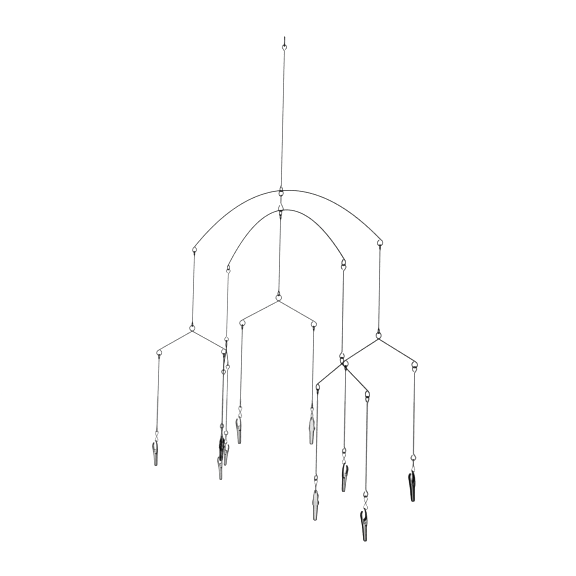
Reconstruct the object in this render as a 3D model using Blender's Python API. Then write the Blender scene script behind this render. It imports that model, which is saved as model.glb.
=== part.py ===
"""Hanging mobile of bent steel wire: a ring, a drop wire, two arches and five V-beams with ten clips.

Lengths here are in millimetres and angles in degrees, and each mesh is scaled to metres.
The origin is the point that the ring hangs from, +Z is up and the front faces -Y.
A yaw turns a flat piece about the vertical. At 0 its plane runs from left to right,
and a positive yaw brings its right end forward. A positive tilt lowers its right end.
"""

import math

import bmesh
import bpy
import numpy as np
from mathutils import Matrix, Vector

MM = 0.001
GAP = 0.3

WIRE = 1.5
RING_WIRE = 2.0
LINK_WIRE = 1.0

RING_WIDTH = 11.0
RING_HEIGHT = 16.0

EYE_RADIUS = 3.55
EYE_STEM = 6.15
DROP_EYE_RADIUS = 3.8
DROP_EYE_STEM = 6.6
DROP_LENGTH = 248.5
HANGER_LENGTH = 132.0

ARCH_SPAN = 379.0
UPPER_ARCH_DROP = 90.5
LOWER_ARCH_DROP = 88.7
ARCH_LOOP_RADIUS = 4.7
V_SPAN = 121.4
V_DROP = 38.8
V_LOOP_RADIUS = 4.75
END_EYE_RADIUS = 4.55
ARCH_END_STEM = 5.9
V_END_STEM = 5.45

CENTRE_LINK_RADIUS = 4.25
CENTRE_LINK_STEM = 9.85
CLIP_LINK_WIDTH = 5.2
CLIP_LINK_LENGTH = 19.0

SHEET = 0.8
CLIP_LENGTH = 45.5
CLIP_HOLE_HEIGHT = 42.6
CLIP_HOLE_RADIUS = 1.3
CLIP_HOLE_DEPTH = 2.0
CLIP_LEAN = 3.0
PIN_HEIGHT = 26.5
PIN_DEPTH = 1.0
PIN_RADIUS = 0.9
EARS_WIDTH = 9.3
LEVER_ABOVE_PIN = 15.3

# Angles of a circle's top and of one full turn.
TOP = 90.0
TURN = 360.0

# Straight steps round each bend, and sides of each rod.
EYE_STEPS = 6
BEAM_HOLDING_EYE_STEPS = 8
RING_STEPS = 12
CLIP_LINK_STEPS = 16
ARCH_LOOP_STEPS = 10
ARCH_ARM_STEPS = 8
V_LOOP_STEPS = 8
ROD_SIDES = 6

# Yaw and tilt of each beam, as it has turned to rest.
UPPER_ARCH_TURN = (33.2, 0.5)
LOWER_ARCH_TURN = (58.5, 2.0)
V_TURNS = {
    "left": (-21.4, -1.3),
    "right": (36.6, -2.1),
    "back": (88.9, 1.0),
    "front": (57.5, -0.2),
    "centre": (-3.3, -0.2),
}

# Yaws of the upper and the lower eye of each link wire.
LINK_WIRE_TURNS = {
    "left": (95.0, 68.6),
    "right": (107.0, 114.0),
    "back": (180.0, 178.9),
    "front": (178.0, 165.0),
    "centre": (105.0, 115.0),
}

# For the left and right clip of each V-beam: the yaws of its wire's two eyes, then of its lever.
CLIP_TURNS = {
    "left": ((61.0, 84.0, 180.0), (68.6, 145.0, -62.0)),
    "right": ((116.0, -37.0, -10.0), (165.0, -4.0, 162.0)),
    "back": ((178.9, 2.0, 0.0), (178.9, 8.0, 176.0)),
    "front": ((106.0, -50.0, -76.0), (134.0, -28.0, 170.0)),
    "centre": ((72.0, 87.0, 180.0), (108.0, 84.0, -78.0)),
}

STEEL = {"color": (0.30, 0.30, 0.31, 1.0), "roughness": 0.30}
BRIGHT = {"color": (0.62, 0.62, 0.63, 1.0), "roughness": 0.16}


def clear_scene():
    for obj in list(bpy.data.objects):
        bpy.data.objects.remove(obj, do_unlink=True)


def metal(name, look):
    material = bpy.data.materials.new(name)
    material.use_nodes = True
    shader = material.node_tree.nodes["Principled BSDF"]
    shader.inputs["Base Color"].default_value = look["color"]
    shader.inputs["Roughness"].default_value = look["roughness"]
    shader.inputs["Metallic"].default_value = 1.0
    return material


def across(yaw):
    """Unit vector from the left end of a piece to its right end."""
    return np.array([math.cos(math.radians(yaw)), -math.sin(math.radians(yaw)), 0.0])


def normal(yaw):
    """Unit vector across the plane of a piece, away from the front at yaw 0."""
    return np.array([math.sin(math.radians(yaw)), math.cos(math.radians(yaw)), 0.0])


def arc(radius, start, end, steps):
    """Points (u, z) on a circle about the origin, both ends included."""
    angles = np.radians(np.linspace(start, end, steps + 1))
    return np.column_stack([radius * np.cos(angles), radius * np.sin(angles)])


def eye(radius, stem, wire, steps=EYE_STEPS):
    """A closed-up eye below its stem, from the stem's foot (0, stem) round to the free end.

    The wire leaves the stem along a tangent on the +u side, goes round the circle
    and comes back up along the other tangent, to end just clear of the stem.
    """
    half_angle = math.degrees(math.acos(radius / stem))
    circle = arc(radius, TOP - half_angle, TOP - TURN + half_angle, steps)
    foot = np.array([0.0, stem])
    leg = foot - circle[-1]
    length = math.hypot(*leg)
    spread = 2.0 * radius / stem
    room = 1.6 * (wire + GAP) / spread
    free = circle[-1] + leg * max(0.1, 1.0 - room / length)
    return np.vstack([foot, circle, free])


def place(flat, yaw, centre):
    """Flat points (u, z) put into the vertical plane of this yaw."""
    return centre + flat[:, :1] * across(yaw) + flat[:, 1:] * np.array([0.0, 0.0, 1.0])


def wire_object(name, points, wire, look, rounds=0, closed=False):
    """A wire along these points, as a bevelled curve with closed ends.

    It has four sides with no rounds, and two more for each round.
    """
    data = bpy.data.curves.new(name, "CURVE")
    data.dimensions = "3D"
    data.bevel_depth = 0.5 * wire * MM
    data.bevel_resolution = rounds
    data.use_fill_caps = not closed
    spline = data.splines.new("POLY")
    spline.points.add(len(points) - 1)
    spline.use_cyclic_u = closed
    spline.use_smooth = True
    for point, where in zip(spline.points, points):
        point.co = (*(where * MM), 1.0)
    data.materials.append(metal(name + "_metal", look))
    obj = bpy.data.objects.new(name, data)
    bpy.context.collection.objects.link(obj)
    return obj


def hang(centre, radius, wire, next_radius, next_wire):
    """Centre of the eye that hangs from the bottom of the eye at this centre."""
    drop = radius + next_radius - 0.5 * (wire + next_wire) - GAP
    return centre - np.array([0.0, 0.0, drop])


def build_ring():
    """An oval ring, whose top inner face is the hanging point. Returns its lowest centreline point."""
    circle = arc(1.0, TOP, TOP + TURN, RING_STEPS)[:-1]
    oval = circle * np.array([0.5 * RING_WIDTH, 0.5 * RING_HEIGHT])
    centre = np.array([0.0, 0.0, 0.5 * RING_WIRE - 0.5 * RING_HEIGHT])
    wire_object("hanging_ring", place(oval, 90.0, centre), RING_WIRE, STEEL, 1, True)
    return centre - np.array([0.0, 0.0, 0.5 * RING_HEIGHT])


def build_hanger(name, top, length, shape, yaws, look=STEEL, rounds=0):
    """A straight wire with an eye at each end, whose upper eye has its circle centred at top.

    The shape holds the eyes' radius and stem, the wire's diameter and the steps round an eye.
    Returns the centre of the lower eye.
    """
    _, stem, wire, _ = shape
    lower_eye = eye(*shape)
    upper_eye = (lower_eye * np.array([-1.0, -1.0]))[::-1]
    bottom = top - np.array([0.0, 0.0, length])
    above = place(upper_eye, yaws[0], top)
    below = place(lower_eye, yaws[1], bottom)
    if length - 2.0 * stem < wire:
        below = below[1:]
    wire_object(name, np.vstack([above, below]), wire, look, rounds)
    return bottom


def build_clip_link(name, crown, yaws):
    """A closed figure of eight below its crown, turned between these yaws from top to bottom.

    At angle t its width goes as sin 2t and its height as cos t, and the two strands pass
    each other in the middle, half a spacing each from its plane, as sin t.
    Returns the lowest point of the centreline.
    """
    angle = np.radians(np.linspace(0.0, TURN, CLIP_LINK_STEPS + 1)[:-1])
    across_it = 0.5 * CLIP_LINK_WIDTH * np.sin(2.0 * angle)
    height = 0.5 * CLIP_LINK_LENGTH * np.cos(angle)
    side = 0.5 * (LINK_WIRE + GAP) * np.sin(angle)
    middle = crown - np.array([0.0, 0.0, 0.5 * CLIP_LINK_LENGTH])
    twist = (yaws[0] - yaws[1] + TOP) % (2.0 * TOP) - TOP
    points = []
    for u, z, v in zip(across_it, height, side):
        yaw = yaws[0] - twist * (0.5 - z / CLIP_LINK_LENGTH)
        points.append(middle + u * across(yaw) + v * normal(yaw) + np.array([0.0, 0.0, z]))
    wire_object(name, np.array(points), LINK_WIRE, BRIGHT, 0, True)
    return crown - np.array([0.0, 0.0, CLIP_LINK_LENGTH])


def bend_beam(name, arm, loop, end_stem, span, turn, pivot, rounds=0):
    """One wire bent about its middle loop, with an eye below each end.

    The arm runs from the left end's stem to the loop, and the right arm mirrors it.
    The two ends of the loop lie side by side, half a spacing each from the plane.
    Returns the centres of the left and the right end eye, in the world.
    """
    right_eye = eye(END_EYE_RADIUS, end_stem, WIRE)
    foot = arm[0] * np.array([-1.0, 1.0])
    right_eye = right_eye + foot - np.array([0.0, end_stem])
    mirror = np.array([-1.0, 1.0])
    left = np.vstack([(right_eye * mirror)[::-1][:-1], arm[:-1]])
    right = (left * mirror)[::-1]
    flat = np.vstack([left, loop, right])
    spacing = 0.5 * (WIRE + GAP)
    side = spacing * (1.0 - np.clip(np.abs(arm[:-1, 0]) / (0.5 * span), 0.0, 1.0))
    side = np.concatenate([np.zeros(len(left) - len(side)), side])
    turns = np.linspace(-spacing, spacing, len(loop))
    offset = np.concatenate([-side, turns, side[::-1]])
    yaw, tilt = turn
    lower = math.radians(tilt)
    u = flat[:, 0] * math.cos(lower) + flat[:, 1] * math.sin(lower)
    z = flat[:, 1] * math.cos(lower) - flat[:, 0] * math.sin(lower)
    points = place(np.column_stack([u, z]), yaw, pivot) + offset[:, None] * normal(yaw)
    wire_object(name, points, WIRE, STEEL, rounds)
    ends = np.array([[-0.5 * span, foot[1] - end_stem], [0.5 * span, foot[1] - end_stem]])
    u = ends[:, 0] * math.cos(lower) + ends[:, 1] * math.sin(lower)
    z = ends[:, 1] * math.cos(lower) - ends[:, 0] * math.sin(lower)
    return place(np.column_stack([u, z]), yaw, pivot)


def build_arch(name, drop, turn, apex):
    """A parabolic arch with a full loop hanging below its top. Returns its end and loop centres."""
    reach = np.linspace(-1.0, 0.0, ARCH_ARM_STEPS + 1)
    arm = np.column_stack([reach * 0.5 * ARCH_SPAN, -drop * reach**2])
    loop = arc(ARCH_LOOP_RADIUS, TOP, TOP - TURN, ARCH_LOOP_STEPS)
    loop = loop - np.array([0.0, ARCH_LOOP_RADIUS])
    left, right = bend_beam(name, arm, loop, ARCH_END_STEM, ARCH_SPAN, turn, apex, 1)
    return left, right, apex - np.array([0.0, 0.0, ARCH_LOOP_RADIUS])


def build_v_beam(place_name, above):
    """A V-beam whose two straight arms cross below the loop that it hangs from."""
    centre = hang(above, EYE_RADIUS, WIRE, V_LOOP_RADIUS, WIRE)
    reach = math.hypot(0.5 * V_SPAN, V_DROP)
    slope = math.degrees(math.atan2(-V_DROP, -0.5 * V_SPAN))
    touch = slope + math.degrees(math.acos(V_LOOP_RADIUS / reach))
    loop = arc(V_LOOP_RADIUS, touch, 2.0 * TOP - touch, V_LOOP_STEPS)
    arm = np.array([[-0.5 * V_SPAN, -V_DROP], [0.0, 0.0]])
    turn = V_TURNS[place_name]
    name = "v_beam_" + place_name
    left, right = bend_beam(name, arm, loop, V_END_STEM, V_SPAN, turn, centre)
    return left, right


def channel(stations):
    """A closed mesh lofted through U-shaped sections of bent sheet.

    A station is (height, back, width, rim): the sheet's back lies at depth back,
    and its two walls reach from there to depth rim.
    """
    mesh = bmesh.new()
    rings = []
    for height, back, width, rim in stations:
        inner = back - math.copysign(SHEET, back)
        half = 0.5 * width
        section = [
            (back, -half), (back, half), (rim, half), (rim, half - SHEET),
            (inner, half - SHEET), (inner, SHEET - half), (rim, SHEET - half), (rim, -half),
        ]
        rings.append([mesh.verts.new((d * MM, w * MM, height * MM)) for d, w in section])
    for lower, upper in zip(rings, rings[1:]):
        for i in range(len(lower)):
            j = (i + 1) % len(lower)
            mesh.faces.new((lower[i], lower[j], upper[j], upper[i]))
    mesh.faces.new(rings[0])
    mesh.faces.new(rings[-1])
    bmesh.ops.recalc_face_normals(mesh, faces=mesh.faces)
    return mesh


def mesh_object(name, mesh, look):
    data = bpy.data.meshes.new(name)
    mesh.to_mesh(data)
    mesh.free()
    data.shade_smooth()
    data.set_sharp_from_angle(angle=math.radians(30.0))
    data.materials.append(metal(name + "_metal", look))
    obj = bpy.data.objects.new(name, data)
    bpy.context.collection.objects.link(obj)
    return obj


def rod(name, radius, length, axis, centre):
    """A hidden cylinder, centred here and lying along this axis."""
    mesh = bmesh.new()
    bmesh.ops.create_cone(
        mesh, cap_ends=True, segments=ROD_SIDES, radius1=radius * MM,
        radius2=radius * MM, depth=length * MM,
    )
    turn = Vector((0.0, 0.0, 1.0)).rotation_difference(Vector(axis)).to_matrix().to_4x4()
    bmesh.ops.transform(mesh, matrix=Matrix.Translation(Vector(centre) * MM) @ turn, verts=mesh.verts)
    helper = mesh_object(name, mesh, BRIGHT)
    helper.hide_render = True
    helper.display_type = "WIRE"
    return helper


def body_stations():
    """Fixed jaw, ears and a handle whose end bends in, with the back at negative depth."""
    jaw_rim = -0.5 * GAP
    return [
        (0.0, -1.8, 4.2, jaw_rim),
        (1.2, -2.3, 5.5, jaw_rim),
        (PIN_HEIGHT - 4.5, -3.1, 7.1, jaw_rim),
        (PIN_HEIGHT - 3.0, -3.2, EARS_WIDTH, jaw_rim),
        (PIN_HEIGHT - 2.0, -3.2, EARS_WIDTH, PIN_DEPTH + 1.8),
        (PIN_HEIGHT + 2.0, -3.4, EARS_WIDTH, PIN_DEPTH + 1.8),
        (PIN_HEIGHT + 4.0, -3.5, 8.2, -1.8),
        (PIN_HEIGHT + 9.5, -3.5, 7.9, -1.9),
        (CLIP_LENGTH - 4.5, -2.9, 5.9, -1.5),
        (CLIP_LENGTH, -1.6, 5.4, -0.4),
    ]


def lever_stations():
    """Moving jaw and thumb pad, with the back at positive depth."""
    width = EARS_WIDTH - 2.0 * (SHEET + GAP)
    jaw_rim = 0.5 * GAP
    over_pin = PIN_DEPTH + PIN_RADIUS + GAP + 0.1
    return [
        (0.0, 1.8, 4.2, jaw_rim),
        (1.2, 2.3, 5.5, jaw_rim),
        (PIN_HEIGHT - 4.5, 3.5, width, jaw_rim),
        (PIN_HEIGHT - 2.5, 3.7, width, jaw_rim),
        (PIN_HEIGHT - 1.5, 3.9, width, over_pin),
        (PIN_HEIGHT + 1.0, 4.3, width, over_pin),
        (PIN_HEIGHT + 4.5, 4.8, width, over_pin + 0.1),
        (PIN_HEIGHT + 9.5, 5.2, 7.9, 2.9),
        (PIN_HEIGHT + LEVER_ABOVE_PIN, 3.4, 4.6, 2.1),
    ]


def build_clip_parts():
    """The body and the lever at the origin: the body with its jaw tip there, the lever with its pin."""
    body = mesh_object("clip_body", channel(body_stations()), BRIGHT)
    pin_length = EARS_WIDTH + 2.0 * GAP
    pin = rod("pin", PIN_RADIUS, pin_length, (0, 1, 0), (PIN_DEPTH, 0, PIN_HEIGHT))
    hole_centre = (-CLIP_HOLE_DEPTH, 0, CLIP_HOLE_HEIGHT)
    hole = rod("hole", CLIP_HOLE_RADIUS, 5.0 * SHEET, (1, 0, 0), hole_centre)
    for helper, operation in ((pin, "UNION"), (hole, "DIFFERENCE")):
        cut = body.modifiers.new(helper.name, "BOOLEAN")
        cut.operation = operation
        cut.object = helper
    graph = bpy.context.evaluated_depsgraph_get()
    body_mesh = bpy.data.meshes.new_from_object(body.evaluated_get(graph))
    lever_shape = channel(lever_stations())
    pin_at = Vector((PIN_DEPTH, 0.0, PIN_HEIGHT)) * MM
    bmesh.ops.translate(lever_shape, verts=lever_shape.verts, vec=-pin_at)
    lever = mesh_object("clip_lever", lever_shape, BRIGHT)
    lever_mesh = lever.data
    for helper in (body, pin, hole, lever):
        bpy.data.objects.remove(helper, do_unlink=True)
    return body_mesh, lever_mesh


def build_clip(suffix, meshes, link_bottom, yaw):
    """A clip whose hole hangs on the bottom of its link, with its lever facing this yaw."""
    seat = 0.5 * LINK_WIRE + GAP - CLIP_HOLE_RADIUS
    hole = link_bottom + np.array([0.0, 0.0, seat])
    facing = Matrix.Rotation(math.radians(-yaw), 4, "Z")
    lean = Matrix.Rotation(math.radians(CLIP_LEAN), 4, "Y")
    hang_from = Matrix.Translation(Vector((CLIP_HOLE_DEPTH, 0.0, -CLIP_HOLE_HEIGHT)) * MM)
    tip = Matrix.Translation(Vector(hole) * MM) @ facing @ lean @ hang_from
    pin = tip @ Matrix.Translation(Vector((PIN_DEPTH, 0.0, PIN_HEIGHT)) * MM)
    for part, mesh, matrix in (("body", meshes[0], tip), ("lever", meshes[1], pin)):
        name = f"clip_{part}_{suffix}"
        data = mesh.copy()
        data.name = name
        data.materials.clear()
        data.materials.append(metal(name + "_metal", BRIGHT))
        obj = bpy.data.objects.new(name, data)
        bpy.context.collection.objects.link(obj)
        obj.matrix_world = matrix


def build_v_group(place_name, above, radius, clip_meshes):
    """The wire that hangs from this eye, the V-beam below it and the beam's two clips."""
    small_eye = (EYE_RADIUS, EYE_STEM, WIRE, EYE_STEPS)
    top = hang(above, radius, WIRE, EYE_RADIUS, WIRE)
    yaws = LINK_WIRE_TURNS[place_name]
    bottom = build_hanger("link_wire_" + place_name, top, HANGER_LENGTH, small_eye, yaws)
    ends = build_v_beam(place_name, bottom)
    for letter, end, turns in zip("ab", ends, CLIP_TURNS[place_name]):
        suffix = f"{place_name}_{letter}"
        *yaws, lever_yaw = turns
        top = hang(end, END_EYE_RADIUS, WIRE, EYE_RADIUS, WIRE)
        bottom = build_hanger("clip_wire_" + suffix, top, HANGER_LENGTH, small_eye, yaws)
        crown = hang(bottom, EYE_RADIUS, WIRE, 0.0, LINK_WIRE)
        low = build_clip_link("clip_link_" + suffix, crown, (yaws[1] + TOP, lever_yaw))
        build_clip(suffix, clip_meshes, low, lever_yaw)


def main():
    clear_scene()
    clip_meshes = build_clip_parts()
    ring_bottom = build_ring()

    upper_yaw = UPPER_ARCH_TURN[0]
    drop_top = hang(ring_bottom, 0.0, RING_WIRE, DROP_EYE_RADIUS, WIRE)
    drop_eye = (DROP_EYE_RADIUS, DROP_EYE_STEM, WIRE, BEAM_HOLDING_EYE_STEPS)
    drop_yaws = (0.0, upper_yaw + TOP)
    drop_low = build_hanger("drop_wire", drop_top, DROP_LENGTH, drop_eye, drop_yaws)

    apex = hang(drop_low, DROP_EYE_RADIUS, WIRE, 0.0, WIRE)
    left, right, loop = build_arch("upper_arch", UPPER_ARCH_DROP, UPPER_ARCH_TURN, apex)
    link_top = hang(loop, ARCH_LOOP_RADIUS, WIRE, CENTRE_LINK_RADIUS, WIRE)
    link = (CENTRE_LINK_RADIUS, CENTRE_LINK_STEM, WIRE, BEAM_HOLDING_EYE_STEPS)
    length = 2.0 * CENTRE_LINK_STEM
    link_low = build_hanger("centre_link", link_top, length, link, (90.0, 0.0), STEEL, 1)

    apex = hang(link_low, CENTRE_LINK_RADIUS, WIRE, 0.0, WIRE)
    back, front, middle = build_arch("lower_arch", LOWER_ARCH_DROP, LOWER_ARCH_TURN, apex)
    build_v_group("left", left, END_EYE_RADIUS, clip_meshes)
    build_v_group("right", right, END_EYE_RADIUS, clip_meshes)
    build_v_group("back", back, END_EYE_RADIUS, clip_meshes)
    build_v_group("front", front, END_EYE_RADIUS, clip_meshes)
    build_v_group("centre", middle, ARCH_LOOP_RADIUS, clip_meshes)
    for mesh in clip_meshes:
        bpy.data.meshes.remove(mesh)


main()
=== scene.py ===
"""Hanging mobile of bent steel wire with spring clips, in a pale studio.

The add-on's sizes are in millimetres and its angles in degrees. Each fine piece is built
in the same place as the plain solid that it stands for, so the layout below follows the
solid model: a ring, a drop wire, two arches, five V-beams and ten clips.
A yaw turns a flat piece about the vertical. At 0 its plane runs from left to right,
and a positive yaw brings its right end forward. A positive tilt lowers its right end.
"""

import math

import bpy
import numpy as np
from bpy.props import FloatProperty, FloatVectorProperty, IntProperty, PointerProperty
from bpy.types import Operator, Panel, PropertyGroup
from mathutils import Matrix, Vector


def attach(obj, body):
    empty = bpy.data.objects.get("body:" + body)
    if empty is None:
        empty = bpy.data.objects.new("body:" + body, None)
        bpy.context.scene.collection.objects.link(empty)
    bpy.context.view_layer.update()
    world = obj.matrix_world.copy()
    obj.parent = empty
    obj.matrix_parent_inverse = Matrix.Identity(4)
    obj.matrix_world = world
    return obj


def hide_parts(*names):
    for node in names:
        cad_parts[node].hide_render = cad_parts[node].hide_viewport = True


bl_info = {
    "name": "Wire photo mobile",
    "version": (1, 0, 0),
    "blender": (4, 5, 0),
    "location": "View3D > Sidebar > Mobile",
    "description": "Builds a hanging wire mobile with spring clips and its studio",
    "category": "Object",
}

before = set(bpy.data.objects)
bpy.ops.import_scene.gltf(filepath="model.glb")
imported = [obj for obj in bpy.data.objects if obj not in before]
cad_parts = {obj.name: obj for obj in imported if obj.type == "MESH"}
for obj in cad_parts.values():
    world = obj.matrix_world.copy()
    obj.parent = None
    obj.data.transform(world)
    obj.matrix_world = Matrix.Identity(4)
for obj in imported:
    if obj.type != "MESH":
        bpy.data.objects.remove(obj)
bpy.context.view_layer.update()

MM = 0.001
UP = np.array([0.0, 0.0, 1.0])

# Clearance between linked pieces.
GAP = 0.3
# Factors that turn flat points (u, z) into their mirror image.
MIRROR = np.array([-1.0, 1.0])

RING_WIDTH = 11.0
RING_HEIGHT = 16.0

# Radius of an eye's middle line, and the distance from its centre to the foot of its stem.
EYE = (3.55, 6.15)
DROP_EYE = (3.8, 6.6)
CENTRE_LINK = (4.25, 9.85)
END_EYE_RADIUS = 4.55
ARCH_END_STEM = 5.9
V_END_STEM = 5.45

# Lengths of the straight wires between the centres of their eyes.
DROP_LENGTH = 248.5
HANGER_LENGTH = 132.0

ARCH_SPAN = 379.0
ARCH_LOOP_RADIUS = 4.7
V_SPAN = 121.4
V_DROP = 38.8
V_LOOP_RADIUS = 4.75

# A wire's samples stand this share of its diameter apart.
SAMPLE_SHARE = 0.28

# The clips' heights are above the tip of the jaws, and their depths from where the jaws meet.
CLIP_LINK_WIDTH = 5.2
CLIP_LINK_LENGTH = 19.0
CLIP_LENGTH = 45.5
CLIP_HOLE_HEIGHT = 42.6
CLIP_HOLE_RADIUS = 1.3
CLIP_HOLE_DEPTH = 2.0
CLIP_LEAN = 3.0
PIN_HEIGHT = 26.5
PIN_DEPTH = 1.0
LEVER_ABOVE_PIN = 15.3

# Outlines of the clip's two halves, as (height, value) stations: the depth of the back, half
# of the width, the depth of the rim, and the radius of the bend between back and wall.
BODY_BACK = [
    (0, 2.3), (4, 2.6), (17.5, 2.9), (22, 3.1), (26.5, 3.4), (30, 3.6), (36, 3.45),
    (40, 2.95), (43, 2.15), (45.5, 1.6),
]
BODY_HALF = [
    (0, 2.75), (22, 3.5), (23.4, 4.65), (29.6, 4.6), (31.5, 4.05), (36, 3.95), (41, 2.95),
    (45.5, 2.7),
]
BODY_RIM = [
    (0, -0.15), (29.5, -0.15), (31, -1.7), (36, -1.95), (40, -1.6), (43, -0.9), (45.5, -0.45),
]
BODY_BEND = 1.7
LEVER_BACK = [
    (0, 2.3), (4, 2.6), (12, 3.0), (17.5, 3.2), (22, 3.6), (26.5, 4.3), (31, 5.0),
    (35, 5.5), (38.5, 5.1), (41, 4.0), (41.8, 3.4),
]
LEVER_HALF = [
    (0, 2.75), (22, 3.5), (30, 3.45), (33, 3.7), (36.5, 3.95), (39, 3.4), (41.8, 2.3),
]
LEVER_RIM = [
    (0, 0.15), (23.6, 0.15), (24.6, 2.35), (29, 2.35), (32, 2.6), (36, 3.1), (39, 2.7),
    (41.8, 2.1),
]
LEVER_BEND = [(0, 1.5), (27, 1.5), (34, 2.7), (41.8, 2.2)]

# Length of a rounded end, and the share of the full width that it starts from.
TIP_ROUND = (2.2, 0.45)
BODY_TOP_ROUND = (2.4, 0.35)
LEVER_TOP_ROUND = (1.6, 0.55)
# Share of the depth that the tip's rounding leaves as it is, and the least height of a wall.
TIP_DEPTH_SHARE = 0.55
LEAST_WALL = 0.45

# The edge of each round ear is a circle about a point this far behind the pin.
EAR_RADIUS = 2.7
EAR_SETBACK = 0.9
EARS_WIDTH = 9.3

# The rivet's shaft, and its domed head as (height, radius) from its foot to its middle.
SHAFT_RADIUS = 0.85
RIVET_DOME = [(0.0, 1.45), (0.3, 1.3), (0.5, 0.95), (0.6, 0.5), (0.62, 0.0)]

# The spring's coil turns between these angles and reaches this far to either side. Each of
# its two legs goes through points given as (depth, height above the pin).
COIL_RADIUS = 1.75
COIL_REACH = 2.0
COIL_ANGLES = (-190.0, 1070.0)
BODY_LEG = [(-2.2, 7.0), (-1.4, 3.5)]
LEVER_LEG = [(2.75, 3.5), (2.75, 7.0)]

# Creases sharper than this angle stay sharp in the clips' sheet.
CREASE = 40.0

# Strength of the metals' fine relief, and its depth in millimetres.
RELIEF_STRENGTH = 0.15
RELIEF_DEPTH = 0.05

# Direction of the studio's lit wall, and the cosines between which its light fades in.
LIT_WALL = (0.0, -1.0, 0.08)
LIT_WALL_EDGE = (0.55, 0.92)

# The stage is in metres, with the hanging point at the origin. Each lamp has its width and place.
CAMERA_PLACE = (0.0154, -1.2245, -0.4946)
CAMERA_TIP = 2.83
CAMERA_ROLL = 1.27
CAMERA_LENS = 45.0
LAMP_TARGET = (0.0, 0.0, -0.45)
LAMPS = (
    ("lamp_left", 1.2, (-1.6, -0.9, 0.2)),
    ("lamp_right", 1.2, (1.7, -0.7, 0.0)),
    ("lamp_top", 1.6, (0.2, 0.6, 1.4)),
)
FLOOR_CORNERS = [(-6.0, -6.0), (6.0, -6.0), (6.0, 6.0), (-6.0, 6.0)]
PAPER_COLOUR = (0.93, 0.93, 0.93)
PAPER_ROUGHNESS = 0.9

# Drop, yaw and tilt of each arch, and yaw and tilt of each V-beam.
ARCHES = {"upper_arch": (90.5, 33.2, 0.5), "lower_arch": (88.7, 58.5, 2.0)}
V_TURNS = {
    "left": (-21.4, -1.3),
    "right": (36.6, -2.1),
    "back": (88.9, 1.0),
    "front": (57.5, -0.2),
    "centre": (-3.3, -0.2),
}

# Yaws of the upper and the lower eye of each link wire.
LINK_WIRE_TURNS = {
    "left": (95.0, 68.6),
    "right": (107.0, 114.0),
    "back": (180.0, 178.9),
    "front": (178.0, 165.0),
    "centre": (105.0, 115.0),
}

# For the left and right clip of each V-beam: the yaws of its wire's two eyes, then of its lever.
CLIP_TURNS = {
    "left": ((61.0, 84.0, 180.0), (68.6, 145.0, -62.0)),
    "right": ((116.0, -37.0, -10.0), (165.0, -4.0, 162.0)),
    "back": ((178.9, 2.0, 0.0), (178.9, 8.0, 176.0)),
    "front": ((106.0, -50.0, -76.0), (134.0, -28.0, 170.0)),
    "centre": ((72.0, 87.0, 180.0), (108.0, 84.0, -78.0)),
}


class MobileSizes(PropertyGroup):
    """Thicknesses and fineness of the mobile's wires and sheet"""

    wire: FloatProperty(
        name="Wire", description="Diameter of the main wire, in millimetres", default=1.5,
        min=0.5, max=3.0,
    )
    ring_wire: FloatProperty(
        name="Ring wire", description="Diameter of the ring's wire, in millimetres", default=2.0,
        min=0.5, max=4.0,
    )
    link_wire: FloatProperty(
        name="Link wire", description="Diameter of the clip links' wire, in millimetres",
        default=1.0, min=0.3, max=2.0,
    )
    sheet: FloatProperty(
        name="Sheet", description="Thickness of the clips' sheet, in millimetres", default=0.7,
        min=0.3, max=1.0,
    )
    spring_wire: FloatProperty(
        name="Spring wire", description="Diameter of the clips' spring wire, in millimetres",
        default=0.7, min=0.2, max=1.0,
    )
    bend: FloatProperty(
        name="Bend", description="Length over which a sharp bend is rounded, in millimetres",
        default=2.2, min=0.0, max=5.0,
    )
    sides: IntProperty(
        name="Sides", description="Faces round each wire", default=14, min=6, max=32,
    )


class MobileColours(PropertyGroup):
    """Colours and polish of the three metals"""

    wire: FloatVectorProperty(
        name="Wire", description="Colour of the drawn steel wire", subtype="COLOR", size=3,
        default=(0.36, 0.36, 0.37), min=0.0, max=1.0,
    )
    link: FloatVectorProperty(
        name="Links", description="Colour of the thin bright wire", subtype="COLOR", size=3,
        default=(0.6, 0.6, 0.61), min=0.0, max=1.0,
    )
    clip: FloatVectorProperty(
        name="Clips", description="Colour of the nickel plate", subtype="COLOR", size=3,
        default=(0.66, 0.66, 0.66), min=0.0, max=1.0,
    )
    wire_roughness: FloatProperty(
        name="Wire roughness", description="Roughness of the drawn wire", subtype="FACTOR",
        default=0.28, min=0.0, max=1.0,
    )
    clip_roughness: FloatProperty(
        name="Clip roughness", description="Roughness of the nickel plate", subtype="FACTOR",
        default=0.14, min=0.0, max=1.0,
    )


class StudioSettings(PropertyGroup):
    """Light and floor of the studio"""

    floor_depth: FloatProperty(
        name="Floor depth", description="Distance from the hanging point down to the floor",
        subtype="DISTANCE", default=1.25, min=0.9, max=5.0,
    )
    backdrop: FloatProperty(
        name="Backdrop", description="Brightness that the camera sees behind the mobile",
        default=1.15, min=0.0, max=4.0,
    )
    bright_side: FloatProperty(
        name="Bright side", description="Brightness of the lit wall that the metal mirrors",
        default=1.35, min=0.0, max=8.0,
    )
    dark_side: FloatProperty(
        name="Dark side", description="Brightness of the unlit walls that the metal mirrors",
        default=0.02, min=0.0, max=4.0,
    )
    lamp_power: FloatProperty(
        name="Lamp power", description="Power of each soft lamp, in watts", default=14.0,
        min=0.0, max=500.0,
    )
    contrast: FloatProperty(
        name="Contrast", description="Gamma of the picture: below 1 darkens the middle tones",
        default=0.5, min=0.3, max=1.5,
    )


def across(yaw):
    """Unit vector from the left end of a piece to its right end."""
    return np.array([math.cos(math.radians(yaw)), -math.sin(math.radians(yaw)), 0.0])


def normal(yaw):
    """Unit vector across the plane of a piece, away from the front at yaw 0."""
    return np.array([math.sin(math.radians(yaw)), math.cos(math.radians(yaw)), 0.0])


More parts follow.
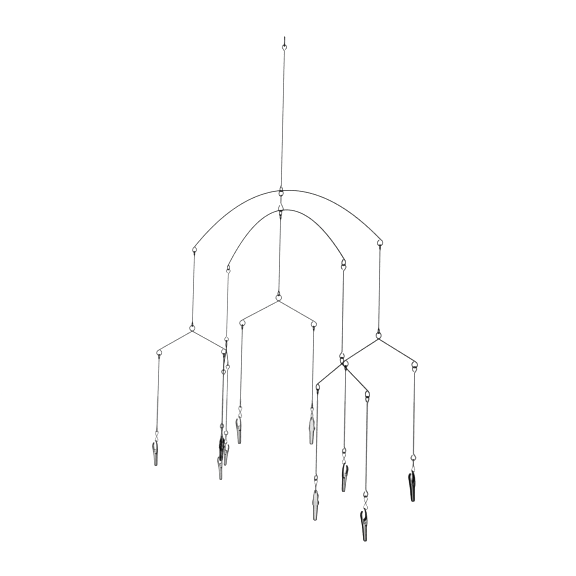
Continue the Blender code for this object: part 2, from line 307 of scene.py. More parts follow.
def arc(radius, start, end, steps):
    """Points (u, z) on a circle about the origin, both ends included."""
    angles = np.radians(np.linspace(start, end, steps + 1))
    return np.column_stack([radius * np.cos(angles), radius * np.sin(angles)])


def eye(radius, stem, wire, steps=56):
    """An eye below its stem, from the stem's foot (0, stem) round to the free end.

    The wire leaves the stem along a tangent on the +u side, goes round the circle
    and comes back up along the other tangent, to end just clear of the stem.
    """
    half_angle = math.degrees(math.acos(radius / stem))
    circle = arc(radius, 90.0 - half_angle, -270.0 + half_angle, steps)
    foot = np.array([0.0, stem])
    leg = foot - circle[-1]
    length = math.hypot(*leg)
    room = 0.8 * (wire + GAP) * stem / radius
    free = circle[-1] + leg * max(0.1, 1.0 - room / length)
    return np.vstack([foot, circle, free])


def place(flat, yaw, centre):
    """Flat points (u, z) put into the vertical plane of this yaw."""
    return centre + flat[:, :1] * across(yaw) + flat[:, 1:] * UP


def hang(centre, radius, wire, next_radius, next_wire):
    """Centre of the eye that hangs from the bottom of the eye at this centre."""
    return centre - UP * (radius + next_radius - 0.5 * (wire + next_wire) - GAP)


def resample(points, values, spacing):
    """Points at an even spacing along a polyline, with the values that go with them."""
    step = np.linalg.norm(np.diff(points, axis=0), axis=1)
    at = np.concatenate([[0.0], np.cumsum(step)])
    new = np.linspace(0.0, at[-1], max(8, int(round(at[-1] / spacing))) + 1)
    points = np.column_stack([np.interp(new, at, column) for column in points.T])
    values = np.column_stack([np.interp(new, at, column) for column in values.T])
    return points, values


def soften(points, width):
    """The same points after a moving mean of this many samples, with both ends kept.

    Each end is first continued by its own point reflection, so that it doesn't move.
    """
    if width < 2:
        return points
    head = 2.0 * points[0] - points[width:0:-1]
    tail = 2.0 * points[-1] - points[-2:-width - 2:-1]
    longer = np.vstack([head, points, tail])
    kernel = np.hanning(2 * (width // 2) + 3)[1:-1]
    kernel = kernel / kernel.sum()
    smooth = np.column_stack([np.convolve(column, kernel, "same") for column in longer.T])
    return smooth[width:-width]


def grid_faces(rows, columns, round_rows):
    """Quads over a grid of vertices whose columns close on themselves.

    With round_rows the last row also joins the first.
    """
    last = rows if round_rows else rows - 1
    r = np.arange(last)[:, None] * columns
    r_next = (np.arange(1, last + 1)[:, None] % rows) * columns
    c = np.arange(columns)[None, :]
    c_next = (c + 1) % columns
    return np.stack([r + c, r + c_next, r_next + c_next, r_next + c], axis=-1).reshape(-1, 4)


def make_mesh(name, vertices, quads, triangles=None):
    """A mesh in metres from vertices in millimetres and arrays of faces."""
    data = bpy.data.meshes.new(name)
    faces = quads.tolist() + ([] if triangles is None else triangles.tolist())
    data.from_pydata((vertices * MM).tolist(), [], faces)
    data.validate()
    data.shade_smooth()
    return data


def with_end_rows(rows):
    """The rows with the first and the last one there three times."""
    return np.vstack([rows[:1], rows[:1], rows, rows[-1:], rows[-1:]])


def swept_wire(name, points, facing, diameter, sides, closed=False):
    """A round wire: the circle P + r (cos a N + sin a B), carried along the points P.

    T is the path's direction, B is T crossed with the facing direction and N is B
    crossed with T. Both cut ends have a small round edge and close in one point.
    """
    if closed:
        tangent = np.roll(points, -1, axis=0) - np.roll(points, 1, axis=0)
    else:
        tangent = np.gradient(points, axis=0)
    tangent = tangent / np.linalg.norm(tangent, axis=1)[:, None]
    side = np.cross(tangent, facing)
    side = side / np.linalg.norm(side, axis=1)[:, None]
    out = np.cross(side, tangent)
    angle = 2.0 * np.pi * np.arange(sides) / sides
    radius = np.full(len(points), 0.5 * diameter)
    if not closed:
        round_edge = 0.16 * diameter
        inset = round_edge * np.array([0.0, 0.35, 1.0])
        share = np.array([0.62, 0.88, 1.0])
        head = points[0] + tangent[0] * inset[:, None]
        tail = points[-1] - tangent[-1] * inset[::-1, None]
        points = np.vstack([head, points[1:-1], tail])
        side, out = with_end_rows(side), with_end_rows(out)
        radius = np.concatenate([radius[:1] * share, radius[1:-1], radius[-1:] * share[::-1]])
    spokes = np.cos(angle)[None, :, None] * out[:, None, :]
    spokes = spokes + np.sin(angle)[None, :, None] * side[:, None, :]
    rings = points[:, None, :] + radius[:, None, None] * spokes
    rows = len(points)
    quads = grid_faces(rows, sides, closed)[:, ::-1]
    vertices = rings.reshape(-1, 3)
    triangles = None
    if not closed:
        vertices = np.vstack([vertices, points[0], points[-1]])
        here = np.arange(sides)
        there = (here + 1) % sides
        start = np.column_stack([here, there, np.full(sides, rows * sides)])
        last = (rows - 1) * sides
        end = np.column_stack([last + there, last + here, np.full(sides, rows * sides + 1)])
        triangles = np.vstack([start, end])
    return make_mesh(name, vertices, quads, triangles)


def add_piece(name, data, material, body, nodes):
    """Puts a finished mesh into the scene as a piece that rides and stands for its nodes."""
    data.materials.clear()
    data.materials.append(material)
    piece = bpy.data.objects.new(name, data)
    bpy.context.scene.collection.objects.link(piece)
    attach(piece, body)
    if nodes:
        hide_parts(*nodes)


def hanger_path(top, length, shape, wire, yaws):
    """Path of a straight wire with an eye at each end, its facing and its lower eye's centre.

    A short link has no straight run: its two eyes meet in one point, which is kept once.
    """
    lower = eye(*shape, wire)
    upper = (lower * -1.0)[::-1]
    bottom = top - UP * length
    above = place(upper, yaws[0], top)
    below = place(lower, yaws[1], bottom)
    facing = np.vstack([
        np.repeat([normal(yaws[0])], len(above), axis=0),
        np.repeat([normal(yaws[1])], len(below), axis=0),
    ])
    points = np.vstack([above, below])
    if length - 2.0 * shape[1] < wire:
        points = np.vstack([above, below[1:]])
        facing = np.delete(facing, len(above), axis=0)
    return points, facing, bottom


def clip_link_path(crown, yaws, link_wire):
    """Closed path of a figure of eight below its crown, turned between these yaws, and its facing.

    At angle t its width goes as sin 2t and its height as cos t, and the two strands pass
    each other in the middle, half a spacing each from its plane, as sin t.
    """
    angle = np.radians(np.linspace(0.0, 360.0, 161)[:-1])
    height = 0.5 * CLIP_LINK_LENGTH * np.cos(angle)
    twist = (yaws[0] - yaws[1] + 90.0) % 180.0 - 90.0
    yaw = np.radians(yaws[0] - twist * (0.5 - height / CLIP_LINK_LENGTH))
    right = np.column_stack([np.cos(yaw), -np.sin(yaw), 0.0 * yaw])
    facing = np.column_stack([np.sin(yaw), np.cos(yaw), 0.0 * yaw])
    u = 0.5 * CLIP_LINK_WIDTH * np.sin(2.0 * angle)
    v = 0.5 * (link_wire + GAP) * np.sin(angle)
    middle = crown - UP * 0.5 * CLIP_LINK_LENGTH
    points = middle + u[:, None] * right + v[:, None] * facing + height[:, None] * UP
    return points, facing, crown - UP * CLIP_LINK_LENGTH


def beam_path(arm, loop, end_stem, span, turn, pivot, wire):
    """Path of a beam bent about its middle loop, its facing and its two end eyes' centres."""
    foot = arm[0] * MIRROR
    right_eye = eye(END_EYE_RADIUS, end_stem, wire) + foot - np.array([0.0, end_stem])
    left = np.vstack([(right_eye * MIRROR)[::-1][:-1], arm[:-1]])
    flat = np.vstack([left, loop, (left * MIRROR)[::-1]])
    spacing = 0.5 * (wire + GAP)
    side = spacing * (1.0 - np.clip(np.abs(arm[:-1, 0]) / (0.5 * span), 0.0, 1.0))
    side = np.concatenate([np.zeros(len(left) - len(side)), side])
    offset = np.concatenate([-side, np.linspace(-spacing, spacing, len(loop)), side[::-1]])
    ends = np.array([[-0.5 * span, foot[1] - end_stem], [0.5 * span, foot[1] - end_stem]])
    yaw, tilt = turn
    cos, sin = math.cos(math.radians(tilt)), math.sin(math.radians(tilt))
    turned = np.array([[cos, -sin], [sin, cos]])
    points = place(flat @ turned, yaw, pivot) + offset[:, None] * normal(yaw)
    facing = np.repeat([normal(yaw)], len(points), axis=0)
    return points, facing, place(ends @ turned, yaw, pivot)


def arch_path(name, apex, wire):
    """Path of a parabolic arch with a full loop below its top."""
    drop, yaw, tilt = ARCHES[name]
    reach = np.linspace(-1.0, 0.0, 120)
    arm = np.column_stack([reach * 0.5 * ARCH_SPAN, -drop * reach**2])
    loop = arc(ARCH_LOOP_RADIUS, 90.0, -270.0, 72) - np.array([0.0, ARCH_LOOP_RADIUS])
    return beam_path(arm, loop, ARCH_END_STEM, ARCH_SPAN, (yaw, tilt), apex, wire)


def v_beam_path(place_name, centre, wire):
    """Path of a V-beam whose straight arms cross below its loop."""
    reach = math.hypot(0.5 * V_SPAN, V_DROP)
    slope = math.degrees(math.atan2(-V_DROP, -0.5 * V_SPAN))
    touch = slope + math.degrees(math.acos(V_LOOP_RADIUS / reach))
    loop = arc(V_LOOP_RADIUS, touch, 180.0 - touch, 64)
    steps = np.linspace(0.0, 1.0, 40)[:, None]
    start = np.array([-0.5 * V_SPAN, -V_DROP])
    arm = start + steps * (loop[0] - start)
    return beam_path(arm, loop, V_END_STEM, V_SPAN, V_TURNS[place_name], centre, wire)


def layout(sizes):
    """Every wire's path, by name, and every clip's place, as they follow from the ring down."""
    wire, ring_wire, link_wire = sizes.wire, sizes.ring_wire, sizes.link_wire
    wires, clips = {}, {}
    ring_centre = UP * 0.5 * (ring_wire - RING_HEIGHT)
    top = hang(ring_centre - UP * 0.5 * RING_HEIGHT, 0.0, ring_wire, DROP_EYE[0], wire)
    yaws = (0.0, ARCHES["upper_arch"][1] + 90.0)
    *path, low = hanger_path(top, DROP_LENGTH, DROP_EYE, wire, yaws)
    wires["drop_wire"] = (*path, wire)
    apex = hang(low, DROP_EYE[0], wire, 0.0, wire)
    *path, (left, right) = arch_path("upper_arch", apex, wire)
    wires["upper_arch"] = (*path, wire)
    top = hang(apex - UP * ARCH_LOOP_RADIUS, ARCH_LOOP_RADIUS, wire, CENTRE_LINK[0], wire)
    *path, low = hanger_path(top, 2.0 * CENTRE_LINK[1], CENTRE_LINK, wire, (90.0, 0.0))
    wires["centre_link"] = (*path, wire)
    apex = hang(low, CENTRE_LINK[0], wire, 0.0, wire)
    *path, (back, front) = arch_path("lower_arch", apex, wire)
    wires["lower_arch"] = (*path, wire)
    hung = {
        "left": (left, END_EYE_RADIUS),
        "right": (right, END_EYE_RADIUS),
        "back": (back, END_EYE_RADIUS),
        "front": (front, END_EYE_RADIUS),
        "centre": (apex - UP * ARCH_LOOP_RADIUS, ARCH_LOOP_RADIUS),
    }
    for name, (above, radius) in hung.items():
        top = hang(above, radius, wire, EYE[0], wire)
        *path, low = hanger_path(top, HANGER_LENGTH, EYE, wire, LINK_WIRE_TURNS[name])
        wires["link_wire_" + name] = (*path, wire)
        centre = hang(low, EYE[0], wire, V_LOOP_RADIUS, wire)
        *path, ends = v_beam_path(name, centre, wire)
        wires["v_beam_" + name] = (*path, wire)
        for letter, end, turns in zip("ab", ends, CLIP_TURNS[name]):
            suffix = f"{name}_{letter}"
            *yaws, lever_yaw = turns
            top = hang(end, END_EYE_RADIUS, wire, EYE[0], wire)
            *path, low = hanger_path(top, HANGER_LENGTH, EYE, wire, yaws)
            wires["clip_wire_" + suffix] = (*path, wire)
            crown = hang(low, EYE[0], wire, 0.0, link_wire)
            *path, low = clip_link_path(crown, (yaws[1] + 90.0, lever_yaw), link_wire)
            wires["clip_link_" + suffix] = (*path, link_wire)
            seat = 0.5 * link_wire + GAP - CLIP_HOLE_RADIUS
            clips[suffix] = (low + UP * seat, lever_yaw)
    return wires, clips, ring_centre


def clip_matrix(hole, yaw):
    """Where a clip's jaw tip stands, in millimetres, for a hole that hangs here."""
    facing = Matrix.Rotation(math.radians(-yaw), 4, "Z")
    lean = Matrix.Rotation(math.radians(CLIP_LEAN), 4, "Y")
    hang_from = Matrix.Translation((CLIP_HOLE_DEPTH, 0.0, -CLIP_HOLE_HEIGHT))
    return np.array(Matrix.Translation(Vector(hole)) @ facing @ lean @ hang_from)


def moved(vertices, matrix):
    """Vertices after this 4 by 4 matrix."""
    return vertices @ matrix[:3, :3].T + matrix[:3, 3]


def bent_sheet(heights, back, half, wall, corner, sheet, side):
    """Vertices and faces of a channel of bent sheet, lofted along its heights.

    At each height the sheet runs down one wall, round a corner of the given radius,
    across the back and up the other wall. The inner face lies one sheet thickness
    inside it, and each rim is brought to an edge halfway between the two.
    Depth is back + side q, where q is the distance in from the back. Where a wall is low,
    the corner and the sheet give way to it.
    """
    least_radius = 0.12
    corner = np.minimum(corner, 0.9 * wall)[:, None]
    sheet = np.minimum(sheet, 0.8 * wall)[:, None]
    wall, half, back = wall[:, None], half[:, None], back[:, None]
    turn = np.radians(np.linspace(0.0, 90.0, 7))[None, :]
    down = np.linspace(0.0, 1.0, 5)[None, :-1]
    edge = wall - 0.3 * sheet
    flat = np.linspace(0.0, 1.0, 7)[None, 1:-1]
    rows = len(heights)

    def outline(inset):
        """Half of the sheet's face on the +y side, then its mirror image."""
        radius = np.maximum(corner - inset, least_radius)
        centre_q, centre_y = radius + inset, half - inset - radius
        wall_q = edge + (centre_q - edge) * down
        wall_y = np.repeat(half - inset, down.size, axis=1)
        arc_q = centre_q - radius * np.sin(turn)
        arc_y = centre_y + radius * np.cos(turn)
        back_q = np.repeat(inset * np.ones((rows, 1)), flat.size, axis=1)
        back_y = centre_y * (1.0 - 2.0 * flat)
        q = np.hstack([wall_q, arc_q, back_q, arc_q[:, ::-1], wall_q[:, ::-1]])
        y = np.hstack([wall_y, arc_y, back_y, -arc_y[:, ::-1], -wall_y[:, ::-1]])
        return q, y

    outer_q, outer_y = outline(0.0 * sheet)
    inner_q, inner_y = outline(sheet)
    rim_y = half - 0.5 * sheet
    q = np.hstack([outer_q, wall, inner_q[:, ::-1], wall])
    y = np.hstack([outer_y, -rim_y, inner_y[:, ::-1], rim_y])
    z = np.repeat(heights[:, None], q.shape[1], axis=1)
    vertices = np.stack([back + side * q, y, z], axis=-1).reshape(-1, 3)
    columns = q.shape[1]
    quads = grid_faces(rows, columns, False)
    n = outer_q.shape[1]
    i = np.arange(n - 1)
    j = 2 * n - i
    cap = np.column_stack([i, i + 1, j - 1, j])
    rim = np.array([[n - 1, n, n + 1], [0, 2 * n, 2 * n + 1]])
    last = (rows - 1) * columns
    caps = np.vstack([cap[:, ::-1], cap + last])
    rims = np.vstack([rim[:1, ::-1], rim[1:], rim[:1] + last, rim[1:, ::-1] + last])
    if side < 0:
        quads, caps, rims = quads[:, ::-1], caps[:, ::-1], rims[:, ::-1]
    return vertices, np.vstack([quads, caps]), rims


def profile(heights, stations, blend=5):
    """Values along the heights, read from (height, value) stations and softened."""
    at, value = np.array(stations).T
    values = np.interp(heights, at, value)
    return soften(values[:, None], blend)[:, 0]


def nose(heights, rounding):
    """A factor that grows from its start to 1 as a quarter ellipse over its length."""
    length, start = rounding
    t = np.clip(heights / length, 0.0, 1.0)
    return start + (1.0 - start) * np.sqrt(1.0 - (1.0 - t) ** 2)


def fine_heights(top, spacing=0.3):
    """Heights from the tip to the top, closer together at both round ends."""
    low_end, high_end = 1.5, 1.2
    even = np.arange(low_end, top - high_end, spacing)
    low = low_end * np.linspace(0.0, 1.0, 12)[:-1] ** 2
    high = top - high_end * np.linspace(1.0, 0.0, 10) ** 2
    return np.concatenate([low, even, high])


def body_shape(sheet):
    """Fixed jaw, round ears and handle of a clip, with its back at negative depth."""
    z = fine_heights(CLIP_LENGTH)
    tip = nose(z, TIP_ROUND)
    top = nose(CLIP_LENGTH - z, BODY_TOP_ROUND)
    back = profile(z, BODY_BACK) * (TIP_DEPTH_SHARE + (1.0 - TIP_DEPTH_SHARE) * tip)
    half = profile(z, BODY_HALF) * tip * top
    jaw_rim = profile(z, BODY_RIM, 9)
    lobe = np.sqrt(np.maximum(EAR_RADIUS**2 - (z - PIN_HEIGHT) ** 2, 0.0))
    ear_rim = np.maximum(jaw_rim, PIN_DEPTH + lobe - EAR_SETBACK)
    rim = soften(np.where(lobe > 0.0, ear_rim, jaw_rim)[:, None], 3)[:, 0]
    wall = np.maximum(rim + back, LEAST_WALL)
    return bent_sheet(z, -back, half, wall, BODY_BEND, sheet, 1.0)


def lever_shape(sheet):
    """Moving jaw and rounded thumb pad with its folded end, the back at positive depth."""
    length = PIN_HEIGHT + LEVER_ABOVE_PIN
    z = fine_heights(length)
    tip = nose(z, TIP_ROUND)
    top = nose(length - z, LEVER_TOP_ROUND)
    back = profile(z, LEVER_BACK) * (TIP_DEPTH_SHARE + (1.0 - TIP_DEPTH_SHARE) * tip)
    half = profile(z, LEVER_HALF) * tip * top
    wall = np.maximum(back - profile(z, LEVER_RIM), LEAST_WALL)
    return bent_sheet(z, back, half, wall, profile(z, LEVER_BEND), sheet, -1.0)


def turned(outline, steps=24):
    """Vertices and faces of a shape turned about the y axis through the pin.

    The outline is rows of (y, radius) whose first and last radius are zero.
    """
    outline = np.array(outline)
    angle = 2.0 * np.pi * np.arange(steps) / steps
    y, radius = outline[1:-1, :1], outline[1:-1, 1:]
    ring = np.stack([
        PIN_DEPTH + radius * np.cos(angle), y + 0.0 * angle, PIN_HEIGHT + radius * np.sin(angle),
    ], axis=-1)
    rows = len(ring)
    vertices = np.vstack([
        ring.reshape(-1, 3),
        [PIN_DEPTH, outline[0, 0], PIN_HEIGHT],
        [PIN_DEPTH, outline[-1, 0], PIN_HEIGHT],
    ])
    here = np.arange(steps)
    there = (here + 1) % steps
    pole = rows * steps
    start = np.column_stack([here, there, np.full(steps, pole)])
    last = (rows - 1) * steps
    end = np.column_stack([last + there, last + here, np.full(steps, pole + 1)])
    return vertices, grid_faces(rows, steps, False)[:, ::-1], np.vstack([start, end])


def rivet_shape():
    """The clip's pin: a shaft with a domed head outside each ear."""
    face = 0.5 * EARS_WIDTH + 0.05
    left = [(-face - y, radius) for y, radius in RIVET_DOME[::-1]]
    right = [(face + y, radius) for y, radius in RIVET_DOME]
    return turned([*left, (-face, SHAFT_RADIUS), (face, SHAFT_RADIUS), *right])


def spring_path():
    """Centre line of the torsion spring: two legs and a coil round the pin."""
    angle = np.radians(np.linspace(*COIL_ANGLES, 150))
    y = np.linspace(-COIL_REACH, COIL_REACH, angle.size)
    coil = np.column_stack([
        PIN_DEPTH + COIL_RADIUS * np.cos(angle), y, PIN_HEIGHT + COIL_RADIUS * np.sin(angle),
    ])
    first = [(depth, -COIL_REACH, PIN_HEIGHT + height) for depth, height in BODY_LEG]
    last = [(depth, COIL_REACH, PIN_HEIGHT + height) for depth, height in LEVER_LEG]
    return np.vstack([first, coil, last])


def cut_hole(data, matrix):
    """The body's mesh after the link's hole is drilled through the handle's back."""
    body = bpy.data.objects.new("drilled", data)
    bpy.context.scene.collection.objects.link(body)
    angle = 2.0 * np.pi * np.arange(28) / 28
    circle = np.column_stack([
        0.0 * angle, CLIP_HOLE_RADIUS * np.cos(angle),
        CLIP_HOLE_HEIGHT + CLIP_HOLE_RADIUS * np.sin(angle),
    ])
    outside, inside = -CLIP_HOLE_DEPTH - 1.6, -CLIP_HOLE_DEPTH + 1.2
    ends = [circle + [depth, 0.0, 0.0] for depth in (outside, inside)]
    vertices = moved(np.vstack(ends), matrix)
    n = len(circle)
    faces = grid_faces(2, n, False).tolist()
    faces += [list(range(n))[::-1], list(range(n, 2 * n))]
    drill = bpy.data.meshes.new("drill")
    drill.from_pydata((vertices * MM).tolist(), [], faces)
    tool = bpy.data.objects.new("drill", drill)
    bpy.context.scene.collection.objects.link(tool)
    cut = body.modifiers.new("hole", "BOOLEAN")
    cut.operation = "DIFFERENCE"
    cut.object = tool
    graph = bpy.context.evaluated_depsgraph_get()
    result = bpy.data.meshes.new_from_object(body.evaluated_get(graph))
    for helper in (body, tool):
        bpy.data.objects.remove(helper, do_unlink=True)
    bpy.data.meshes.remove(drill)
    bpy.data.meshes.remove(data)
    return result


def metal(name, colour, roughness, spread, scale):
    """A bare metal, with a fine uneven roughness and relief on object coordinates.

    The roughness goes from spread below its middle value to spread above it.
    """
    material = bpy.data.materials.get(name)
    if material:
        return material
    material = bpy.data.materials.new(name)
    material.use_nodes = True
    nodes, links = material.node_tree.nodes, material.node_tree.links
    shader = nodes["Principled BSDF"]
    shader.inputs["Base Color"].default_value = (*colour, 1.0)
    shader.inputs["Metallic"].default_value = 1.0
    where = nodes.new("ShaderNodeTexCoord")
    noise = nodes.new("ShaderNodeTexNoise")
    noise.inputs["Scale"].default_value = scale
    noise.inputs["Detail"].default_value = 3.0
    polish = nodes.new("ShaderNodeMapRange")
    polish.inputs["To Min"].default_value = roughness - spread
    polish.inputs["To Max"].default_value = roughness + spread
    bump = nodes.new("ShaderNodeBump")
    bump.inputs["Strength"].default_value = RELIEF_STRENGTH
    bump.inputs["Distance"].default_value = RELIEF_DEPTH * MM
    links.new(where.outputs["Object"], noise.inputs["Vector"])
    links.new(noise.outputs["Fac"], polish.inputs["Value"])
    links.new(polish.outputs["Result"], shader.inputs["Roughness"])
    links.new(noise.outputs["Fac"], bump.inputs["Height"])
    links.new(bump.outputs["Normal"], shader.inputs["Normal"])
    return material


def wire_metal(colours):
    """Drawn steel, satin, for the main wires and the ring."""
    return metal("drawn_steel", colours.wire, colours.wire_roughness, 0.06, 700.0)


def link_metal(colours):
    """Thin bright wire, for the clip links and the springs."""
    return metal("bright_wire", colours.link, colours.wire_roughness, 0.05, 900.0)


def clip_metal(colours):
    """Smooth nickel plate, for the clips and their rivets."""
    return metal("nickel_plate", colours.clip, colours.clip_roughness, 0.04, 250.0)


def build_wires(context, prefixes):
    """Makes the fine wire for every path whose name starts with one of the prefixes."""
    sizes, colours = context.scene.mobile_sizes, context.scene.mobile_colours
    wires, _, _ = layout(sizes)
    names = [name for name in wires if name.startswith(prefixes)]
    if not names:
        raise RuntimeError(f"no wire is called {prefixes}")
    for name in names:
        points, facing, diameter = wires[name]
        spacing = SAMPLE_SHARE * diameter
        thin = name.startswith("clip_link")
        if not thin:
            points, facing = resample(points, facing, spacing)
            points = soften(points, int(sizes.bend / spacing))
        data = swept_wire("fine_" + name, points, facing, diameter, sizes.sides, thin)
        material = link_metal(colours) if thin else wire_metal(colours)
        add_piece("fine_" + name, data, material, "frame", [name])
    return {"FINISHED"}


class MOBILE_OT_ring(Operator):
    """Build the oval hanging ring"""

    bl_idname = "mobile.ring"
    bl_label = "Hanging ring"

    def execute(self, context):
        sizes, colours = context.scene.mobile_sizes, context.scene.mobile_colours
        _, _, centre = layout(sizes)
        oval = arc(1.0, 90.0, 450.0, 96)[:-1] * np.array([0.5 * RING_WIDTH, 0.5 * RING_HEIGHT])
        points = place(oval, 90.0, centre)
        facing = np.repeat([normal(90.0)], len(points), axis=0)
        data = swept_wire("fine_ring", points, facing, sizes.ring_wire, sizes.sides, True)
        add_piece("fine_ring", data, wire_metal(colours), "frame", ["hanging_ring"])
        return {"FINISHED"}


class MOBILE_OT_hangers(Operator):
    """Build the drop wire, the link wires and the clip wires"""

    bl_idname = "mobile.hangers"
    bl_label = "Hanging wires"

    def execute(self, context):
        return build_wires(context, ("drop_wire", "link_wire", "clip_wire"))


class MOBILE_OT_beams(Operator):
    """Build the two arches, the link between them and the five V-beams"""

    bl_idname = "mobile.beams"
    bl_label = "Arches and V-beams"

    def execute(self, context):
        return build_wires(context, ("upper_arch", "lower_arch", "centre_link", "v_beam"))


class MOBILE_OT_clip_links(Operator):
    """Build the small figure-eight links above the clips"""

    bl_idname = "mobile.clip_links"
    bl_label = "Clip links"

    def execute(self, context):
        return build_wires(context, ("clip_link",))


class MOBILE_OT_clip_bodies(Operator):
    """Build the fixed half of each clip, with its rivet"""

    bl_idname = "mobile.clip_bodies"
    bl_label = "Clip bodies"

    def execute(self, context):
        sizes, colours = context.scene.mobile_sizes, context.scene.mobile_colours
        _, clips, _ = layout(sizes)
        for suffix, (hole, yaw) in clips.items():
            matrix = clip_matrix(hole, yaw)
            vertices, quads, triangles = body_shape(sizes.sheet)
            data = make_mesh("body_" + suffix, moved(vertices, matrix), quads, triangles)
            data = cut_hole(data, matrix)
            data.set_sharp_from_angle(angle=math.radians(CREASE))
            name = "fine_body_" + suffix
            add_piece(name, data, clip_metal(colours), "frame", ["clip_body_" + suffix])
            vertices, quads, triangles = rivet_shape()
            data = make_mesh("rivet_" + suffix, moved(vertices, matrix), quads, triangles)
            add_piece("rivet_" + suffix, data, clip_metal(colours), "frame", [])
        return {"FINISHED"}


class MOBILE_OT_clip_levers(Operator):
    """Build the moving half of each clip"""

    bl_idname = "mobile.clip_levers"
    bl_label = "Clip levers"

    def execute(self, context):
        sizes, colours = context.scene.mobile_sizes, context.scene.mobile_colours
        _, clips, _ = layout(sizes)
        for suffix, (hole, yaw) in clips.items():
            vertices, quads, triangles = lever_shape(sizes.sheet)
            name = "fine_lever_" + suffix
            data = make_mesh(name, moved(vertices, clip_matrix(hole, yaw)), quads, triangles)
            data.set_sharp_from_angle(angle=math.radians(CREASE))
            node = "clip_lever_" + suffix
            add_piece(name, data, clip_metal(colours), "lever_" + suffix, [node])
        return {"FINISHED"}


class MOBILE_OT_clip_springs(Operator):
    """Build the torsion spring inside each clip"""

    bl_idname = "mobile.clip_springs"
    bl_label = "Clip springs"

    def execute(self, context):
        sizes, colours = context.scene.mobile_sizes, context.scene.mobile_colours
        _, clips, _ = layout(sizes)
        path = spring_path()
        # Any fixed direction will do that the spring never runs along.
        facing = np.repeat([[0.3, 0.9, 0.3]], len(path), axis=0)
        path, facing = resample(path, facing, 0.4 * sizes.spring_wire)
        path = soften(path, 4)
        for suffix, (hole, yaw) in clips.items():
            matrix = clip_matrix(hole, yaw)
            data = swept_wire(
                "spring_" + suffix, moved(path, matrix), facing @ matrix[:3, :3].T,
                sizes.spring_wire, 10,
            )
            add_piece("spring_" + suffix, data, link_metal(colours), "frame", [])
        return {"FINISHED"}


def studio_world(settings):
    """A white studio whose metal mirrors one lit wall in front.

    The glossy rays see a brightness that falls smoothly with the angle from that wall.
    """
    world = bpy.data.worlds.new("studio")
    world.use_nodes = True
    nodes, links = world.node_tree.nodes, world.node_tree.links
    nodes.clear()
    where = nodes.new("ShaderNodeTexCoord")
    toward = nodes.new("ShaderNodeVectorMath")
    toward.operation = "DOT_PRODUCT"
    toward.inputs[1].default_value = Vector(LIT_WALL).normalized()
    ramp = nodes.new("ShaderNodeMapRange")
    ramp.interpolation_type = "SMOOTHSTEP"
    ramp.inputs["From Min"].default_value = LIT_WALL_EDGE[0]
    ramp.inputs["From Max"].default_value = LIT_WALL_EDGE[1]
    ramp.inputs["To Min"].default_value = settings.dark_side
    ramp.inputs["To Max"].default_value = settings.bright_side
    studio = nodes.new("ShaderNodeBackground")
    seen = nodes.new("ShaderNodeBackground")
    seen.inputs["Strength"].default_value = settings.backdrop
    ray = nodes.new("ShaderNodeLightPath")
    mix = nodes.new("ShaderNodeMixShader")
    out = nodes.new("ShaderNodeOutputWorld")
    links.new(where.outputs["Generated"], toward.inputs[0])
    links.new(toward.outputs["Value"], ramp.inputs["Value"])
    links.new(ramp.outputs["Result"], studio.inputs["Strength"])
    links.new(ray.outputs["Is Glossy Ray"], mix.inputs["Fac"])
    links.new(seen.outputs["Background"], mix.inputs[1])
    links.new(studio.outputs["Background"], mix.inputs[2])
    links.new(mix.outputs["Shader"], out.inputs["Surface"])
    for background in (studio, seen):
        background.inputs["Color"].default_value = (1.0, 1.0, 1.0, 1.0)
    return world


def area_lamp(name, power, size, where, towards):
    """Puts up a square soft lamp, turned towards a point, that the metal doesn't mirror."""
    data = bpy.data.lights.new(name, "AREA")
    data.energy = power
    data.size = size
    lamp = bpy.data.objects.new(name, data)
    lamp.location = where
    lamp.rotation_euler = (Vector(towards) - Vector(where)).to_track_quat("-Z", "Y").to_euler()
    lamp.visible_glossy = False
    bpy.context.scene.collection.objects.link(lamp)


def photo_camera():
    """The camera of the photograph: a little below the middle, tipped up and rolled."""
    data = bpy.data.cameras.new("camera")
    data.sensor_width = 36.0
    data.lens = CAMERA_LENS
    camera = bpy.data.objects.new("camera", data)
    camera.location = CAMERA_PLACE
    tip = Matrix.Rotation(math.radians(90.0 + CAMERA_TIP), 3, "X")
    roll = Matrix.Rotation(math.radians(CAMERA_ROLL), 3, "Z")
    camera.rotation_euler = (tip @ roll).to_euler()
    bpy.context.scene.collection.objects.link(camera)
    return camera


def paper_floor(depth):
    """Lays the pale paper floor this far below the hanging point."""
    corners = [(x, y, -depth) for x, y in FLOOR_CORNERS]
    data = bpy.data.meshes.new("floor")
    data.from_pydata(corners, [], [(0, 1, 2, 3)])
    paper = bpy.data.materials.new("pale_paper")
    paper.use_nodes = True
    shader = paper.node_tree.nodes["Principled BSDF"]
    shader.inputs["Base Color"].default_value = (*PAPER_COLOUR, 1.0)
    shader.inputs["Roughness"].default_value = PAPER_ROUGHNESS
    data.materials.append(paper)
    floor = bpy.data.objects.new("floor", data)
    floor.visible_glossy = False
    bpy.context.scene.collection.objects.link(floor)


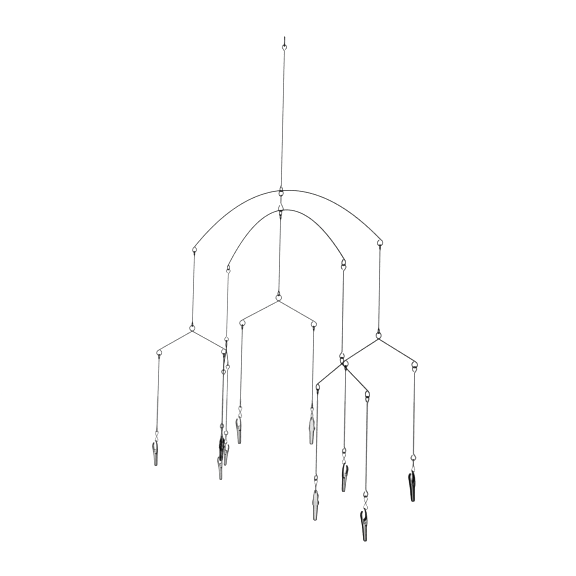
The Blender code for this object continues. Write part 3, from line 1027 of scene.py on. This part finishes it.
class MOBILE_OT_stage(Operator):
    """Build the floor, the lamps, the world and the camera"""

    bl_idname = "mobile.stage"
    bl_label = "Studio"

    def execute(self, context):
        settings = context.scene.mobile_studio
        paper_floor(settings.floor_depth)
        for name, size, where in LAMPS:
            area_lamp(name, settings.lamp_power, size, where, LAMP_TARGET)
        context.scene.world = studio_world(settings)
        context.scene.view_settings.view_transform = "Standard"
        context.scene.view_settings.gamma = settings.contrast
        context.scene.camera = photo_camera()
        return {"FINISHED"}


OPERATORS = (
    MOBILE_OT_ring,
    MOBILE_OT_hangers,
    MOBILE_OT_beams,
    MOBILE_OT_clip_links,
    MOBILE_OT_clip_bodies,
    MOBILE_OT_clip_levers,
    MOBILE_OT_clip_springs,
    MOBILE_OT_stage,
)


class MOBILE_PT_panel(Panel):
    """The mobile's sizes, colours and building steps"""

    bl_idname = "MOBILE_PT_panel"
    bl_label = "Wire photo mobile"
    bl_space_type = "VIEW_3D"
    bl_region_type = "UI"
    bl_category = "Mobile"

    def draw(self, context):
        for group in (
            context.scene.mobile_sizes, context.scene.mobile_colours, context.scene.mobile_studio,
        ):
            box = self.layout.box()
            for key in group.bl_rna.properties.keys():
                if key not in ("rna_type", "name"):
                    box.prop(group, key)
        for operator in OPERATORS:
            self.layout.operator(operator.bl_idname)


GROUPS = (MobileSizes, MobileColours, StudioSettings)
CLASSES = (*GROUPS, *OPERATORS, MOBILE_PT_panel)


def register():
    for cls in CLASSES:
        bpy.utils.register_class(cls)
    bpy.types.Scene.mobile_sizes = PointerProperty(type=MobileSizes)
    bpy.types.Scene.mobile_colours = PointerProperty(type=MobileColours)
    bpy.types.Scene.mobile_studio = PointerProperty(type=StudioSettings)


def unregister():
    del bpy.types.Scene.mobile_studio
    del bpy.types.Scene.mobile_colours
    del bpy.types.Scene.mobile_sizes
    for cls in reversed(CLASSES):
        bpy.utils.unregister_class(cls)


def main():
    register()
    bpy.ops.mobile.ring()
    bpy.ops.mobile.hangers()
    bpy.ops.mobile.beams()
    bpy.ops.mobile.clip_links()
    bpy.ops.mobile.clip_bodies()
    bpy.ops.mobile.clip_levers()
    bpy.ops.mobile.clip_springs()
    bpy.ops.mobile.stage()
    bpy.context.view_layer.update()


if __name__ == "__main__":
    main()
